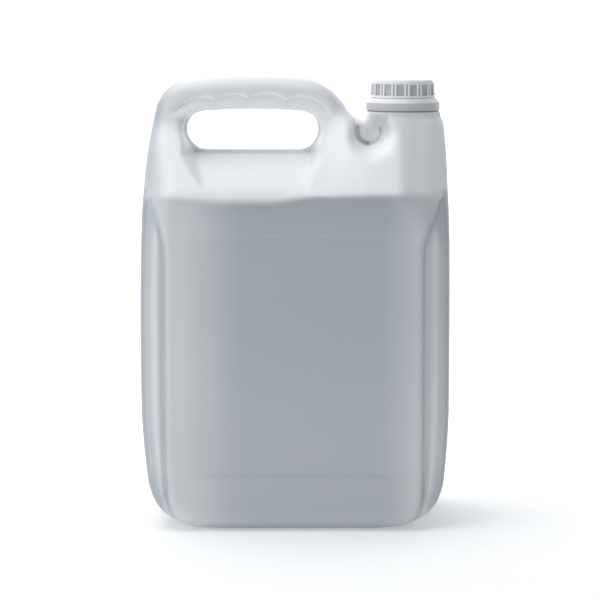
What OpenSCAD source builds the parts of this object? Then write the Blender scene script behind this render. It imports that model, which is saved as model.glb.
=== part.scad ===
// Blow-moulded jug with a looped handle and a tamper-evident screw cap.
// Millimetres. X runs across the front with the neck towards +X, Y to the back, Z up.
// The origin is the middle of the base, and the parting plane of the shell is y = 0.

/* [Body] */
// Width across the sides where they are widest
body_w = 198; // [190:1:208]
// Depth from the front panel to the back panel
body_d = 128; // [118:1:138]
// Height of the fold between the upright panels and the sloped shoulder
shoulder_h = 216; // [206:1:226]
// Thickness of the blown wall
wall = 1.4; // [1.2:0.1:1.8]
// Height where the sides are widest
widest_h = 125; // [110:1:150]
// How far the sides draw in between their widest height and the shoulder
side_draw = 1.6; // [0.6:0.1:3]
// Radius of the two lower corners, seen from the front
base_corner_r = 40; // [32:1:44]
// Radius of the lower front and back edges, seen from the side
base_edge_r = 18; // [13:1:24]
// Height of the pushed-up middle of the base
push_up = 3; // [2:0.5:5]
// Width of the standing rim around the pushed-up middle
rim_w = 10; // [8:1:14]

/* [Corner columns and label panel] */
// Width of a rounded corner column, from the side to its crease
column_w = 19; // [15:0.5:22]
// Width of a corner at the shoulder, where the column has run out
column_top_w = 25; // [20:0.5:28]
// Width of a column where it runs under the base
column_foot_w = 9; // [8:0.5:11]
// Height below the shoulder over which a column's crease runs out
column_run = 37; // [28:1:48]
// Depth of the crease between a column and its panel
crease_d = 2; // [1:0.25:2.5]
// Width of the crease
crease_w = 2.4; // [1.5:0.1:3]
// Width of the recessed label panel
label_w = 138; // [120:1:144]
// Height of the label panel's lower edge
label_bottom = 38; // [32:1:46]
// Height of the label panel's upper edge below the shoulder
label_drop = 26; // [18:1:34]
// Depth of the label recess
label_recess = 0.9; // [0.5:0.1:1.2]
// Width of the sloped edge around the label recess
label_edge = 3; // [2:0.25:4]

/* [Handle] */
// Top of the handle above the shoulder
handle_rise = 72; // [69:1:78]
// Depth of the handle bar, front to back
handle_d = 32; // [28:1:36]
// Corner radius of the handle's section
handle_round = 9.5; // [7:0.5:10]
// Width of the pillar at the side end of the hand hole
pillar_w = 22.4; // [20:0.2:24]
// Lean of the outer edge of that pillar, sideways per unit of height
pillar_lean = 0.17; // [0.12:0.01:0.2]
// Middle of the hand hole above the shoulder
hole_rise = 38; // [36.4:0.2:39.4]
// Half height and end radius of the hand hole
hole_r = 13; // [12:0.25:14]
// End of the hand hole in from the side of the body
hole_in = 28; // [27:0.2:30]
// Other end of the hand hole, from the neck column
hole_to_neck = 29.8; // [28:0.2:32]
// Radius of the handle's corner over the side pillar
handle_corner_r = 17; // [14:0.5:20]
// Radius of the handle's bend down towards the neck
handle_bend_r = 40; // [34:1:44]
// Radius of the handle's gently arched top
handle_crown_r = 300; // [200:10:400]
// Drop of the handle's top towards the side
side_drop = 2; // [1:0.25:3]
// Rise of the arched top's middle corner, before it is rounded
crown_rise = 1.6; // [1:0.1:2.2]
// That corner from the middle of the hand hole, towards the side
crown_in = 3; // [0:0.5:6]
// Corner of the bend beyond the end of the hand hole
bend_out = 7; // [5:0.5:8]
// Drop of the handle's top at that corner
bend_drop = 3.5; // [2.5:0.25:4.5]
// Width of the handle where it comes down by the neck
handle_end_w = 24; // [22:0.2:26]
// Fingers that the grip is dished for
fingers = 4; // [3:1:4]
// Spacing of the finger dishes
finger_pitch = 23.5; // [21:0.5:24]
// Depth of a finger dish
finger_d = 2.5; // [1:0.25:3]
// Radius of the ball shape of a finger dish
finger_r = 20; // [17:0.5:24]

/* [Shoulder] */
// Height above the shoulder where the slopes reach the handle's depth
foot_rise = 41.5; // [39:0.5:43]
// Half thickness of the ridge under the hand hole
ridge_t = 4; // [3:0.25:5]
// How far the pocket under the hole narrows at each end down to the fold
pocket_in = 11; // [8:0.5:14]
// Half thickness of the web between the handle and the neck
web_t = 9; // [7:0.5:11]
// Top of that web above the shoulder
web_rise = 45; // [42:0.5:45.5]
// Height above the shoulder up to which the neck column keeps the body's side
belly_rise = 20; // [16:1:24]
// How far the neck column has drawn in there
belly_in = 1.2; // [0.8:0.1:2]

/* [Neck] */
// Side of the body beyond the neck column
neck_in = 4.6; // [4:0.2:6]
// Top of the neck column above the shoulder
platform_rise = 49.6; // [48.6:0.2:51]
// Neck column beyond the tamper ring
platform_in = 0.3; // [0.1:0.1:0.8]
// Rounding of the neck column's top edge
platform_round = 2.4; // [2:0.1:3]
// Radius of the mouth
bore_r = 15; // [14:0.1:15.4]
// Thickness of the neck wall under the thread
neck_wall = 2.6; // [2.2:0.1:3]
// Height of the thread over the neck wall
thread_h = 1.1; // [0.9:0.05:1.3]
// Rise of the thread in one turn
pitch = 3.2; // [3:0.05:3.4]
// Width of the thread at its foot
thread_foot = 1.5; // [1.2:0.05:1.6]
// Width of the thread at its crest
thread_crest = 0.7; // [0.5:0.05:0.8]
// Plain neck over the thread
lip_land = 1.2; // [1:0.1:1.4]
// Bead that keeps the tamper ring on, over the neck wall
bead_h = 1.7; // [1.4:0.05:1.8]
// Height of that bead's crest
bead_crest = 1; // [0.8:0.1:1.2]
// Lower edge of the bead's crest above the ring's lower edge
bead_rise = 4; // [3.6:0.1:4.4]

/* [Cap] */
// Height of the cap from the skirt's lower edge to its flat top
cap_h = 11.6; // [11.4:0.1:13]
// Thickness of the skirt at its lower edge
cap_wall = 1.9; // [1.7:0.05:2.2]
// How much the skirt narrows up to its top edge
cap_taper = 0.7; // [0.4:0.1:0.9]
// Thickness of the flat top
cap_top_t = 1.8; // [1.5:0.1:2]
// Rounding of the top edge
cap_round = 2; // [1.4:0.1:2.2]
// Pairs of grip ribs around the skirt
rib_pairs = 15; // [12:1:15]
// Depth of the flats between the ribs
flat_d = 0.5; // [0.3:0.05:0.6]
// Width of a flat between two pairs
flat_w = 4.9; // [4.4:0.1:5]
// Width of the groove inside a pair
groove_w = 1.3; // [1:0.05:1.5]
// Smooth band left under and over the flats
flat_margin = 1.3; // [1:0.1:1.6]
// Thickness of the liner
liner_t = 1.6; // [1.2:0.1:1.8]

/* [Tamper ring] */
// Lower edge of the ring above the neck column
ring_lift = 0.6; // [0.4:0.1:1]
// Height of the ring
ring_h = 8; // [7.8:0.1:8.4]
// Width of the ring from its bore to its outside
ring_w = 4.4; // [4:0.1:4.8]
// Thickness of the ring's walls
ring_wall = 1.2; // [1:0.05:1.4]
// Width of the ring's sloped top
ring_bevel = 2.6; // [2:0.1:3]
// Thickness of the ring over its hollow
ring_roof = 3.6; // [3.4:0.1:4]
// Rounding of the ring's edges
ring_edge = 0.4; // [0.3:0.05:0.6]

/* [Fits] */
// Air between turning and still surfaces
run_gap = 0.4; // [0.35:0.05:0.5]
// Air over and under the liner
seat_gap = 0.1; // [0.05:0.05:0.2]

/* [Hidden] */
eps = 0.5;
near = 0.3;
lap = 4;
fold_land = 0.4;
foot_in = 0.4;
section_flat = 0.4;
ridge_lip_t = 1.5;
ridge_lip_h = 1;
finger_lift = 1;
sink = 0.3;
crest_gap = 0.2;
neck_r = bore_r + neck_wall;
thread_r = neck_r + thread_h;
cap_in_r = thread_r + run_gap;
cap_r = cap_in_r + cap_wall;
ring_in_r = neck_r + bead_h + run_gap;
ring_r = ring_in_r + ring_w;
platform_r = ring_r + platform_in;
neck_x = body_w / 2 - neck_in - platform_r;
hole_x0 = -body_w / 2 + hole_in;
hole_x1 = neck_x - platform_r - hole_to_neck;
hole_mid = (hole_x0 + hole_x1) / 2;
hole_z = shoulder_h + hole_rise;
handle_top = shoulder_h + handle_rise;
foot_z = shoulder_h + foot_rise;
platform_z = shoulder_h + platform_rise;
label_top = shoulder_h - label_drop;
web_mid = hole_x1 + handle_end_w;
web_x0 = hole_x1 + handle_end_w / 3;
web_x1 = neck_x - platform_r / 2;
bead_z = ring_lift + bead_rise;
bead_under = bead_h * 0.4;
ring_top = ring_lift + ring_h;
skirt_z = platform_z + ring_top + run_gap;
cap_z = skirt_z + cap_h;
lip_z = cap_z - cap_top_t - liner_t - 2 * seat_gap;
thread_turns = (lip_z - skirt_z - lip_land - thread_foot / 2 - pitch / 2 - run_gap) / pitch;
thread_z = lip_z - lip_land - thread_turns * pitch;

// Values in rising order, each one once.
function sorted(v) = len(v) < 2 ? v : let (p = v[0]) concat(
    sorted([for (x = v) if (x < p - near) x]), [p], sorted([for (x = v) if (x > p + near) x]));

// Points of an arc about c from angle a0 to a1.
function arc(c, r, a0, a1, n) = [for (i = [0 : n])
    let (a = a0 + (a1 - a0) * i / n)
    c + r * [cos(a), sin(a)]];

// Corner p of a path from a to b, rounded to radius r.
function rounded(a, p, b, r, n) = let (
    u = (a - p) / norm(a - p),
    v = (b - p) / norm(b - p),
    half = acos(u * v) / 2,
    c = p + (u + v) / norm(u + v) * r / sin(half),
    s = p + u * r / tan(half) - c,
    e = p + v * r / tan(half) - c,
    a0 = atan2(s.y, s.x),
    turn = atan2(s.x * e.y - s.y * e.x, s * e)
) arc(c, r, a0, a0 + turn, n);

// A path with points added so that no step is longer than gap.
function refined(path, gap) = [for (i = [0 : len(path) - 2])
    let (n = ceil(norm(path[i + 1] - path[i]) / gap))
    for (k = [0 : n - 1]) path[i] + (path[i + 1] - path[i]) * k / n];

// Rectangle of half sizes h about c with corners rounded to r, n steps a corner.
function round_rect(c, h, r, n) = [for (q = [0 : 3])
    let (sx = q == 0 || q == 3 ? 1 : -1, sy = q < 2 ? 1 : -1)
    each arc(c + [sx * (h.x - r), sy * (h.y - r)], r, 90 * q, 90 * q + 90, n)];

// Solid between closed loops of equally many points, from the lowest loop to the highest.
module skin(loops) {
    n = len(loops[0]);
    top = (len(loops) - 1) * n;
    sides = [for (k = [0 : len(loops) - 2], i = [0 : n - 1])
        let (a = k * n + i, b = k * n + (i + 1) % n)
        each [[a, a + n, b], [b, a + n, b + n]]];
    ends = [[for (i = [0 : n - 1]) i], [for (i = [n - 1 : -1 : 0]) top + i]];
    polyhedron([for (l = loops) each l], concat(sides, ends));
}

// Half width of the body at height z, w inside its outer face.
function side_x(z) = body_w / 2 - side_draw * pow((z - widest_h) / (shoulder_h - widest_h), 2);
function half_width(z, w) = z >= base_corner_r ? side_x(z) - w :
    side_x(base_corner_r) - base_corner_r
    + sqrt(max(0, pow(base_corner_r - w, 2) - pow(base_corner_r - z, 2)));

// Half depth of the body at height z, w inside its outer face.
function half_depth(z, w) = z >= base_edge_r ? body_d / 2 - w :
    body_d / 2 - base_edge_r + sqrt(max(0, pow(base_edge_r - w, 2) - pow(base_edge_r - z, 2)));

// How far the crease of a column has run out at height z, from 0 below to 1 at the shoulder.
function run_out(z) = max(0, (z - shoulder_h + column_run) / column_run);

// Width of a corner at height z.
function column_at(z) = z < base_corner_r
    ? column_foot_w + (column_w - column_foot_w) * z / base_corner_r
    : column_w + (column_top_w - column_w) * pow(run_out(z), 2);

// Front right quarter of the body's outline at height z, from the middle of the front to the side.
function quarter(z, w, n) = let (
    a = half_width(z, w),
    b = half_depth(z, w),
    col = column_at(z),
    crease_x = half_width(max(z, w), 0) - col,
    panel_x = min(label_w / 2, crease_x - 1),
    rx = col - crease_w - w,
    ry = col + 1 - w,
    yc = b - crease_d * (1 - run_out(z)),
    dent = z > label_bottom + eps && z < label_top - eps ? label_recess : 0
) concat(
    [[0, dent - b], [panel_x - label_edge, dent - b], [panel_x, -b], [crease_x - w / 2, -b]],
    [for (i = [0 : n]) let (t = 90 * i / n) [a - rx + rx * sin(t), ry - yc - ry * cos(t)]]);

// The whole outline from that quarter.
function whole(q) = let (m = len(q) - 1) concat(
    q,
    [for (i = [m : -1 : 0]) [q[i].x, -q[i].y]],
    [for (i = [1 : m]) [-q[i].x, -q[i].y]],
    [for (i = [m : -1 : 1]) [-q[i].x, q[i].y]]);

function at_height(loop, z) = [for (p = loop) [p.x, p.y, z]];

// A loop drawn in by d on all sides.
function drawn_in(loop, d) = let (a = max([for (p = loop) p.x]), b = max([for (p = loop) p.y]))
    [for (p = loop) [p.x * (a - d) / a, p.y * (b - d) / b]];

// Height of the fold for a face w inside the outer one.
function fold_z(w) = shoulder_h - w * (sqrt(2) - 1);

// Upright part of the body from the base to the fold.
module trunk(w, n) {
    base = whole(quarter(w, w, n));
    heights = sorted(concat(
        [for (t = [15 : 15 : 90]) base_corner_r * (1 - cos(t))],
        [label_bottom, label_bottom + label_edge, label_top - label_edge, label_top],
        [widest_h, (widest_h + label_bottom) / 2, shoulder_h - column_run],
        [for (i = [1 : 4]) shoulder_h - column_run * i / 5]));
    skin(concat(
        [at_height(drawn_in(base, rim_w + push_up - w), push_up + w)],
        [at_height(drawn_in(base, rim_w - w), w)],
        [at_height(base, w)],
        [for (z = heights) if (z > w + near && z < fold_z(w) - near) at_height(whole(quarter(z, w, n)), z)],
        [at_height(whole(quarter(shoulder_h, w, n)), fold_z(w))]));
}

// Slab under one slope: the fold's outline between x0 and x1, set in by land from the fold.
module fold_slab(x0, x1, w, n, land) {
    translate([0, 0, fold_z(w) - lap])
        linear_extrude(lap + land / 2)
            intersection() {
                polygon(drawn_in(whole(quarter(shoulder_h, w, n)), land));
                translate([x0, -body_d])
                    square([x1 - x0, 2 * body_d]);
            }
}

// Top of a slope under a pillar that runs from x0 to x1, just inside the pillar.
module pillar_foot(x0, x1, w, n) {
    h = [(x1 - x0) / 2 - w - foot_in, handle_d / 2 - w - foot_in];
    translate([0, 0, fold_z(w) + foot_rise - eps])
        linear_extrude(eps)
            polygon(round_rect([(x0 + x1) / 2, 0], h, handle_round - w - foot_in, n));
}

// Hand hole with its edge moved out by d.
module hand_hole(d) {
    ends = concat(
        arc([hole_x1 - hole_r, hole_z], hole_r + d, -90, 90, 12),
        arc([hole_x0 + hole_r, hole_z], hole_r + d, 90, 270, 12));
    rotate([90, 0, 0])
        linear_extrude(body_d, center = true)
            polygon(ends);
}

// Outer edge of the side pillar at height z.
function pillar_x(z) = hole_x0 - pillar_w + pillar_lean * (z - hole_z);

// Slopes from the fold up to the two ends of the handle.
module pillar_slopes(w, n) {
    difference() {
        union() {
            hull() {
                fold_slab(-body_w, hole_x0 + pocket_in, w, n, fold_land);
                pillar_foot(pillar_x(foot_z), hole_x0, w, n);
            }
            hull() {
                fold_slab(hole_x1 - pocket_in / 2 + w, web_mid + lap, w, n, fold_land);
                pillar_foot(hole_x1, web_mid - 2 * foot_in, w, n);
            }
        }
        hand_hole(2 * foot_in + w);
    }
}

// Ridge and pocket under the hand hole.
module pocket_ridge(w) {
    b = body_d / 2 - 2 * fold_land;
    rise = hole_z - hole_r - ridge_lip_h - shoulder_h;
    edge = [rise, b - ridge_t] / norm([rise, b - ridge_t]);
    fold = shoulder_h + fold_land - w * (1 - edge.x) / edge.y;
    top = shoulder_h + rise + w * (edge.x - 1) / edge.y;
    lip = w > 0 ? [] : [[ridge_lip_t, top + ridge_lip_h], [-ridge_lip_t, top + ridge_lip_h]];
    t = ridge_t - w;
    translate([hole_x0 - lap, 0, 0])
        rotate([90, 0, 90])
            linear_extrude(hole_x1 - hole_x0 + 2 * lap)
                polygon(concat(
                    [[b - w, fold - lap], [b - w, fold], [t, top]],
                    lip,
                    [[-t, top], [w - b, fold], [w - b, fold - lap]]));
}

// Web that closes the gap between the handle and the neck column.
module neck_web(w, n) {
    t = web_t - w;
    top = shoulder_h + web_rise - w;
    translate([web_x0, 0, 0])
        rotate([90, 0, 90])
            linear_extrude(web_x1 - web_x0)
                polygon(concat(
                    [[-t, shoulder_h - 2 * lap], [t, shoulder_h - 2 * lap]],
                    arc([0, top - t], t, 0, 180, 2 * n)));
}

// Column under the neck, round at its top and as deep as the body at the fold.
module neck_column(w, n) {
    belly_x = half_width(shoulder_h, 0) - neck_x - belly_in - w;
    belly_y = body_d / 2 + (platform_r - body_d / 2) * belly_rise / platform_rise - w;
    hull() {
        fold_slab(web_mid - lap, body_w, w, n, fold_land * 1.5);
        translate([neck_x, 0, shoulder_h + belly_rise])
            linear_extrude(eps)
                polygon(round_rect([0, 0], [belly_x, belly_y], min(belly_x, belly_y) - eps, 3 * n));
        translate([neck_x, 0, platform_z - platform_round - eps - w])
            cylinder(r = platform_r - w, h = eps, $fn = 48);
        translate([neck_x, 0, platform_z - eps - w])
            cylinder(r = platform_r - platform_round - w, h = eps, $fn = 48);
    }
}

// Point of the hand hole nearest to p, for a hole of radius r.
function hole_point(p, r) = let (
    c = [max(hole_x0 + hole_r, min(hole_x1 - hole_r, p.x)), hole_z]
) c + (p - c) / norm(p - c) * r;

// Outer edge of the handle, from the foot of the side pillar over the top to the foot by the neck.
handle_edge = let (
    foot = [pillar_x(shoulder_h + foot_rise / 2), shoulder_h + foot_rise / 2],
    side = [pillar_x(handle_top), handle_top - side_drop],
    crown = [hole_mid - crown_in, handle_top + crown_rise],
    bend = [hole_x1 + bend_out, handle_top - bend_drop],
    end = [hole_x1 + handle_end_w, foot_z - 2 * eps]
) concat(
    [foot],
    rounded(foot, side, crown, handle_corner_r, 6),
    rounded(side, crown, bend, handle_crown_r, 2),
    rounded(crown, bend, end, handle_bend_r, 5),
    [end]);

// Section of the handle between the hole and point p of its outer edge.
function handle_section(p, w, n) = let (
    h = hole_point(p, hole_r),
    u = (p - h) / norm(p - h),
    mid = (p + h) / 2,
    half = norm(p - h) / 2 - w
) [for (q = round_rect([0, 0], [half, handle_d / 2 - w], min(handle_round, half + w - section_flat) - w, n))
    [mid.x + u.x * q.x, -q.y, mid.y + u.y * q.x]];

// Hollow handle bar with its finger dishes.
module handle(w, n) {
    path = concat(refined(handle_edge, hole_r * (w > 0 ? 1.1 : 0.6)), [handle_edge[len(handle_edge) - 1]]);
    difference() {
        skin([for (p = path) handle_section(p, w, n)]);
        for (i = [0 : fingers - 1], side = [-1, 1])
            translate([
                hole_mid + (i - (fingers - 1) / 2) * finger_pitch,
                side * (handle_d / 2 + finger_r - finger_d),
                hole_z + hole_r + finger_lift])
                sphere(r = finger_r + w, $fn = 36);
    }
}

// The blown form, w inside its outer face, with n steps to a rounding.
module blown_form(w, n) {
    trunk(w, n);
    pillar_slopes(w, n);
    pocket_ridge(w);
    neck_web(w, n);
    neck_column(w, n);
    handle(w, n);
}

// Ridge of a screw thread from radius r0 at its foot to r1 at its crest, fading out at both ends.
module thread_ridge(r0, r1, foot, crest, z0) {
    steps = round(thread_turns * 24);
    skin([for (i = [0 : steps])
        let (
            a = i * 360 * thread_turns / steps,
            z = z0 + pitch * a / 360,
            fade = min(1, 0.1 + min(i, steps - i) / 4),
            r = r0 + (r1 - r0) * fade,
            f = r1 > r0 ? foot / 2 : -foot / 2,
            c = r1 > r0 ? crest / 2 : -crest / 2)
        [for (p = [[r0, -f], [r0, f], [r, c], [r, -c]]) [p.x * cos(a), p.x * sin(a), z + p.y]]]);
}

// Neck with its bead and thread, open down into the shell.
module neck() {
    z = platform_z + bead_z;
    foot = platform_z - wall - sink;
    translate([neck_x, 0, 0]) {
        rotate_extrude($fn = 96)
            polygon([
                [bore_r, foot],
                [neck_r, foot],
                [neck_r, z - bead_under],
                [neck_r + bead_h, z],
                [neck_r + bead_h, z + bead_crest],
                [neck_r, z + bead_crest + bead_h],
                [neck_r, lip_z - lip_land / 2],
                [neck_r - lip_land / 2, lip_z],
                [bore_r, lip_z]]);
        thread_ridge(neck_r - run_gap, thread_r, thread_foot, thread_crest, thread_z);
    }
}

// The shell is one blown piece, held to the drawn width and depth, and the neck is formed on it.
module jug_body() {
    color("gainsboro") {
        resize([body_w, body_d, 0])
            difference() {
                blown_form(0, 4);
                blown_form(wall, 3);
                translate([neck_x, 0, platform_z - 2 * neck_wall])
                    cylinder(r = bore_r + neck_wall / 2, h = 4 * neck_wall, $fn = 48);
            }
        neck();
    }
}

module tamper_ring() {
    hook_r = neck_r + 2 * run_gap;
    hook_top = bead_z - bead_under - run_gap;
    top_r = max(ring_r - ring_bevel, ring_in_r + ring_wall);
    bevel_z = ring_top - (ring_r - ring_edge - top_r);
    color("whitesmoke")
        translate([neck_x, 0, platform_z])
            rotate_extrude($fn = 96)
                polygon([
                    [hook_r, ring_lift + ring_edge],
                    [hook_r, hook_top],
                    [ring_in_r, hook_top],
                    [ring_in_r, ring_top],
                    [top_r, ring_top],
                    [ring_r - ring_edge, bevel_z],
                    [ring_r, bevel_z - ring_edge],
                    [ring_r, ring_lift + ring_edge],
                    [ring_r - ring_edge, ring_lift],
                    [ring_r - ring_wall, ring_lift],
                    [ring_r - ring_wall, ring_top - ring_roof],
                    [ring_in_r + ring_wall, ring_top - ring_roof],
                    [ring_in_r + ring_wall, ring_lift],
                    [hook_r + ring_edge, ring_lift]]);
}

module cap_liner() {
    color("lightgray")
        translate([neck_x, 0, lip_z + seat_gap])
            cylinder(r = cap_in_r - run_gap, h = liner_t, $fn = 96);
}

// Cut of width w in the skirt that leaves ribs beside it.
module rib_cut(w) {
    translate([cap_r - cap_taper - flat_d, -w / 2, skirt_z + flat_margin])
        rotate([0, -atan(cap_taper / cap_h), 0])
            cube([2 * cap_wall, w, cap_h - cap_round - flat_margin]);
}

module screw_cap() {
    top_r = cap_r - cap_taper;
    inner_z = cap_z - cap_top_t;
    color("whitesmoke")
        translate([neck_x, 0, 0]) {
            difference() {
                rotate_extrude($fn = 96)
                    polygon(concat(
                        [[cap_in_r, skirt_z], [cap_r, skirt_z]],
                        arc([top_r - cap_round, cap_z - cap_round], cap_round, 0, 90, 5),
                        [[0, cap_z], [0, inner_z], [cap_in_r, inner_z]]));
                for (i = [0 : rib_pairs - 1]) {
                    rotate([0, 0, i * 360 / rib_pairs])
                        rib_cut(flat_w);
                    rotate([0, 0, (i + 0.5) * 360 / rib_pairs])
                        rib_cut(groove_w);
                }
            }
            thread_ridge(
                cap_in_r + sink, neck_r + run_gap + crest_gap,
                thread_foot, thread_crest, thread_z - pitch / 2);
        }
}

jug_body();
tamper_ring();
cap_liner();
screw_cap();
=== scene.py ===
"""Looks of a blow-moulded jug with a looped handle and a tamper-evident screw cap.

The pieces stand for the part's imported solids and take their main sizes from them. The jug's skin is one
smooth field, in millimetres, that is negative inside the plastic. It is meshed here, because a blown form
is all soft blends. Cap, ring, liner and neck are turned shapes.
"""

import math

import bpy
import numpy as np
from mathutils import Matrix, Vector


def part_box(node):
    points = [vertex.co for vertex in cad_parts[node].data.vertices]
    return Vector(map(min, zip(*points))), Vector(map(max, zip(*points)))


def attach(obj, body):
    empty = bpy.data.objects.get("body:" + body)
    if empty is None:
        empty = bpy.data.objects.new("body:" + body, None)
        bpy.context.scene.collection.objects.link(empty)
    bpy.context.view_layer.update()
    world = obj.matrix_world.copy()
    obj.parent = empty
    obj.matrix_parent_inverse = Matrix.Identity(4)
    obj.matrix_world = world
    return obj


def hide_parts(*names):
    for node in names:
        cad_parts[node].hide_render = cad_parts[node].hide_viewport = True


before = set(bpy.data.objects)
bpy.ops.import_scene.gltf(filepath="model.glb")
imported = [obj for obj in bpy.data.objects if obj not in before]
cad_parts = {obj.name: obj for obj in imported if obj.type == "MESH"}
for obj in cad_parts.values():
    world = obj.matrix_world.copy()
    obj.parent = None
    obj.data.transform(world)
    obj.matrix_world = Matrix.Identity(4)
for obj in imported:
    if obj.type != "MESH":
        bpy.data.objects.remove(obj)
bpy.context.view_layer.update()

MM = 0.001


def box_mm(node):
    """Lowest and highest corner of a CAD node in millimetres."""
    low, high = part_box(node)
    return np.array(low) / MM, np.array(high) / MM


# Sizes that the frame gives, in millimetres
JUG_LOW, JUG_HIGH = box_mm("jug_body")
CAP_LOW, CAP_HIGH = box_mm("screw_cap")
RING_LOW, RING_HIGH = box_mm("tamper_ring")
LINER_LOW, LINER_HIGH = box_mm("cap_liner")
HALF_W = JUG_HIGH[0]
HALF_D = JUG_HIGH[1]
HANDLE_TOP = JUG_HIGH[2]
NECK_X = (CAP_LOW[0] + CAP_HIGH[0]) / 2
CAP_R = (CAP_HIGH[0] - CAP_LOW[0]) / 2
RING_R = (RING_HIGH[0] - RING_LOW[0]) / 2
LINER_R = (LINER_HIGH[0] - LINER_LOW[0]) / 2

# Sizes are in millimetres down to the stage. A blend is the reach of a soft join and a curve is a power.
# A pair holds the two ends of a soft step, unless its comment says otherwise.

# Body
WALL = 1.4
FOLD_Z = 215.2
FOLD_BLEND = 3.0
FOLD_DIP = 1.8
FOLD_DIP_BLEND = 7.0
FOLD_DIP_LEFT = (-22.0, 24.0)  # from the hole's left end
FOLD_DIP_RIGHT = (-34.0, 0.0)  # from the hole's right end
WIDEST_Z = 125.0
LEFT_IN = 0.2
LEFT_DRAW = 1.8
RIGHT_DRAW = 0.7
FOOT_DRAW = 3.0
FOOT_DRAW_Z = (76.0, 24.0)
FOOT_DRAW_CURVE = 1.6
FOOT_START_Z = 0.2  # keeps the rounded foot's slope finite at the floor
BASE_CORNER_R = 31.0
BASE_EDGE_R = 18.0
PUSH_UP = 3.0
PUSH_UP_X = 46.0
PUSH_UP_Y = 36.0
PUSH_UP_BLEND = 3.0

# Corner columns and label panel
COLUMN_R = 18.0
COLUMN_TOP_R = 23.0
CREASE_X = 82.0
CREASE_LEFT_OUT = 11.0
CREASE_RIGHT_OUT = 14.0
CREASE_OUT_CURVE = 1.5
CREASE_TOP_Z = 181.0
CREASE_FOOT_IN = 9.0
CREASE_FOOT_Z = 25.0
CREASE_D = 2.0
CREASE_W = 2.4
CREASE_GROOVE_D = 1.4
CREASE_GROOVE_W = 1.8
CREASE_TOP_SHARE = 0.35
CREASE_SHARE_OVER = 2.0
CREASE_END = (-2.0, 5.0)  # from the fold
LABEL_HALF_W = 70.5
LABEL_LOW_Z = 38.5
LABEL_HIGH_Z = 190.0
LABEL_D = 1.2
LABEL_TOP_EDGE = 2.0
LABEL_LOW_EDGE = 5.0
LABEL_SIDE_EDGE = 18.0

# Handle and hand hole
HANDLE_HALF_D = 16.0
HANDLE_FOOT_Z = 257.5
HANDLE_BLEND = 6.0
HANDLE_ROUND = 9.5
HANDLE_CORNER_R = 14.5
HANDLE_BEND_R = 14.0
HANDLE_TOP_X = -28.0
HANDLE_ARCH_R = 350.0
BEND_POINT = (35.0, 264.6)  # x and z
BEND_NORMAL = (0.855, 0.519)  # x and z
PILLAR_DRAW = 10.0
PILLAR_RISE = 64.0
PILLAR_CURVE = 1.7
HOLE_X0 = -70.0
HOLE_X1 = 15.0
HOLE_Z = 254.0
HOLE_R = 13.0
HOLE_CROWN = 0.3
HOLE_ARCH = 1.1
HOLE_LOW_EDGE_R = 2.2
HOLE_SIDE_EDGE_R = 8.5
HOLE_TOP_EDGE_R = 3.0
HOLE_TOP_BAND = 6.0
FINGERS_X = (-59.3, -39.3, -18.7, 3.2)
FINGER_TOPS = (276.0, 277.8, 278.4, 276.6)
FINGER_R = 19.0
FINGER_D = 3.0
FINGER_LAP = 2.0
FINGER_MIN_H = 1.0
FINGER_EDGE = (-0.8, 1.6)

# Pocket under the hand hole
RIDGE_T = 4.0
RIM_R = 1.3
RIM_STEP = 2.2
RIM_BLEND = 0.5
POCKET_FOOT = (58.0, 220.0)  # y and z
POCKET_IN = 2.0
POCKET_LEFT_IN = 9.5
POCKET_RIGHT_IN = 6.0
POCKET_CURVE = 1.4
POCKET_DRAFT = 0.2
POCKET_OVER = 5.0
POCKET_FLOOR_BLEND = 3.0
POCKET_TOP_BLEND = 6.0
POCKET_EDGE_BLEND = 2.5

# Neck column, and the web and scoop between it and the handle
NECK_CORNER_R = 30.0
NECK_BASE_H = 36.0
NECK_BLEND = 1.5
PLATFORM_Z = RING_LOW[2]
PLATFORM_R = 24.4
PLATFORM_ROUND = 2.4
COLUMN_LEFT = NECK_X - PLATFORM_R
COLUMN_LAP = 6.0
COLUMN_DRAW = 2.6
COLUMN_CURVE = 2.2
WEB_Z = 261.0
WEB_LAP = 8.0
WEB_END = (-1.0, 5.0)  # from the column's left side
WEB_BLEND = 6.0
SCOOP_X = 48.0
SCOOP_R = 9.0
SCOOP_Z = 253.0
SCOOP_Y = 9.0
SCOOP_BULGE = 2.5
SCOOP_DRAFT = 0.15
SCOOP_BLEND = 1.0
SCOOP_EDGE_BLEND = 6.0
SCOOP_CREASE = 1.2
SCOOP_CREASE_DROP = 5.0

# Neck and thread
BORE_R = 15.0
NECK_R = 17.6
NECK_SINK = 0.3
MOUTH_DROP = 1.0
INNER_MOUTH_DROP = 3.0
SEAT_GAP = 0.1
LIP_Z = LINER_LOW[2] - SEAT_GAP
LIP_BEVEL = 0.6
LIP_IN_BEVEL = 0.5
BEAD_Z = 270.2
BEAD_H = 1.7
BEAD_T = 1.0
BEAD_LEAD = 0.68
THREAD_H = 1.1
THREAD_PITCH = 3.2
THREAD_TURNS = 1.27
THREAD_TOP_DROP = 1.2
THREAD_Z = LIP_Z - THREAD_TOP_DROP - THREAD_TURNS * THREAD_PITCH
THREAD_HALF_W = (0.75, 0.35)  # at its foot and its crest
THREAD_SINK = 0.4
THREAD_STEPS = 72
THREAD_FADE_STEPS = 12
THREAD_END_SHARE = 0.1

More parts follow.
